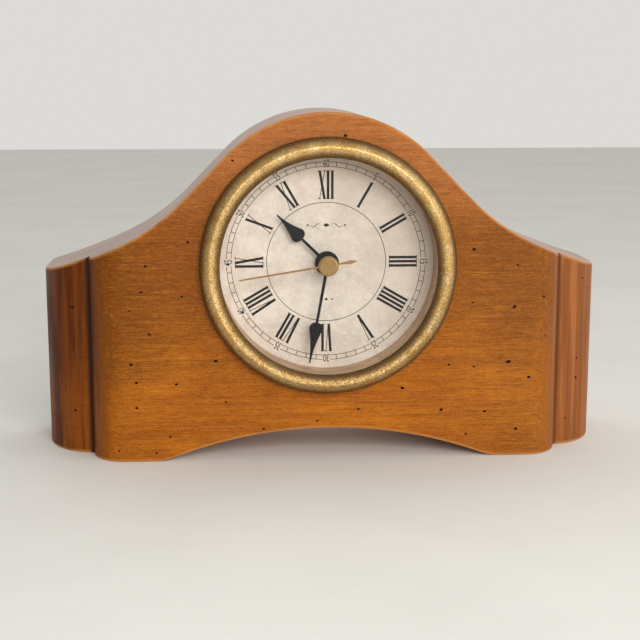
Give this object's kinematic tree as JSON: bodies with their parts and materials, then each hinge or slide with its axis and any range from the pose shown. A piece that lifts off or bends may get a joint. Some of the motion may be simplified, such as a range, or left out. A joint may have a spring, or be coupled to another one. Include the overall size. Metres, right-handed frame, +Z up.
{
  "type": "mantel clock",
  "caption": "Small quartz mantel clock in a moulded tambour wooden case with an arched base, round gold bezel, Roman dial and spade hands.",
  "frame": {"origin": "middle of the base, halfway through the depth from the bezel's front to the back of the case", "axes": "+Z up, the dial faces -Y, +X to the reader's right, hands turn clockwise about +Y"},
  "size_m": [0.248, 0.074, 0.1489],
  "materials": {
    "front_wood": "satin varnish over honey stain",
    "case_wood": "satin varnish over red-brown stain",
    "antique_gold": "antiqued, semi-gloss",
    "ring_gold": "polished, toned",
    "clear_glass": "clear",
    "black_rubber": "matt",
    "dial_paint": "matt parchment print",
    "can_plastic": "moulded",
    "steel": "brushed",
    "brass": "turned",
    "hand_black": "satin black",
    "hand_gold": "polished gold",
    "gear_plastic": "moulded acetal",
    "movement_plastic": "fine moulded texture",
    "magnet": "sintered",
    "stator_steel": "punched sheet",
    "bobbin_plastic": "moulded",
    "copper_wire": "enamelled copper wire",
    "board_laminate": "laminate",
    "chip_resin": "cast resin",
    "spring_metal": "nickel plated",
    "cell_jacket": "printed film jacket"
  },
  "bodies": {
    "case": {"front_board": "front_wood", "case_body": "case_wood", "bezel_ring": "antique_gold", "glass_lens": "clear_glass", "lens_gasket": "black_rubber", "inner_wall_ring": "ring_gold", "dial_plate": "dial_paint", "insert_can": "can_plastic", "grip_band": "black_rubber", "dial_washer": "steel", "hex_nut": "steel", "threaded_bushing": "brass", "movement_front_case": "movement_plastic", "movement_back_cover": "movement_plastic", "stator": "stator_steel", "coil_core": "stator_steel", "coil_bobbin": "bobbin_plastic", "coil_winding": "copper_wire", "circuit_board": "board_laminate", "quartz_crystal": "spring_metal", "timer_chip": "chip_resin", "positive_contact": "spring_metal", "negative_contact": "spring_metal"},
    "second_hand": {"second_hand": "hand_gold", "second_hand_cap": "hand_gold", "second_wheel": "gear_plastic", "second_arbor": "steel"},
    "minute_hand": {"minute_hand": "hand_black", "minute_cannon": "gear_plastic", "center_wheel": "gear_plastic"},
    "hour_hand": {"hour_hand": "hand_black", "hour_wheel": "gear_plastic"},
    "third_wheel": {"third_wheel": "gear_plastic"},
    "intermediate_wheel": {"intermediate_wheel": "gear_plastic"},
    "rotor": {"rotor_pinion": "gear_plastic", "rotor_magnet": "magnet"},
    "motion_wheel": {"motion_wheel": "gear_plastic", "setting_knob": "movement_plastic"},
    "battery": {"battery_cell": "cell_jacket"}
  },
  "joints": [
    {"name": "second_hand_turn", "type": "hinge", "parent": "case", "child": "second_hand", "pos_m": [0, -0.0158, 0.0843], "axis": [0, 1, 0], "continuous": true},
    {"name": "minute_hand_turn", "type": "hinge", "parent": "case", "child": "minute_hand", "pos_m": [0, -0.0158, 0.0843], "axis": [0, 1, 0], "continuous": true},
    {"name": "hour_hand_turn", "type": "hinge", "parent": "case", "child": "hour_hand", "pos_m": [0, -0.0158, 0.0843], "axis": [0, 1, 0], "continuous": true},
    {"name": "third_wheel_turn", "type": "hinge", "parent": "case", "child": "third_wheel", "pos_m": [-0.00974, -0.0061, 0.08691], "axis": [0, 1, 0], "continuous": true},
    {"name": "intermediate_wheel_turn", "type": "hinge", "parent": "case", "child": "intermediate_wheel", "pos_m": [0.00354, -0.0061, 0.09403], "axis": [0, 1, 0], "continuous": true},
    {"name": "rotor_turn", "type": "hinge", "parent": "case", "child": "rotor", "pos_m": [0.01153, -0.0061, 0.09693], "axis": [0, 1, 0], "continuous": true},
    {"name": "motion_wheel_turn", "type": "hinge", "parent": "case", "child": "motion_wheel", "pos_m": [0.00979, -0.0061, 0.07974], "axis": [0, 1, 0], "continuous": true},
    {"name": "battery_slide", "type": "slide", "parent": "case", "child": "battery", "axis": [0, 1, 0], "range_m": [0, 0.05]}
  ],
  "couplings": [
    {"joint": "minute_hand_turn", "follows": "second_hand_turn", "ratio": 0.016667},
    {"joint": "hour_hand_turn", "follows": "second_hand_turn", "ratio": 0.0013889},
    {"joint": "third_wheel_turn", "follows": "second_hand_turn", "ratio": -0.125},
    {"joint": "intermediate_wheel_turn", "follows": "second_hand_turn", "ratio": -4},
    {"joint": "rotor_turn", "follows": "second_hand_turn", "ratio": 30},
    {"joint": "motion_wheel_turn", "follows": "second_hand_turn", "ratio": -0.0055556}
  ]
}
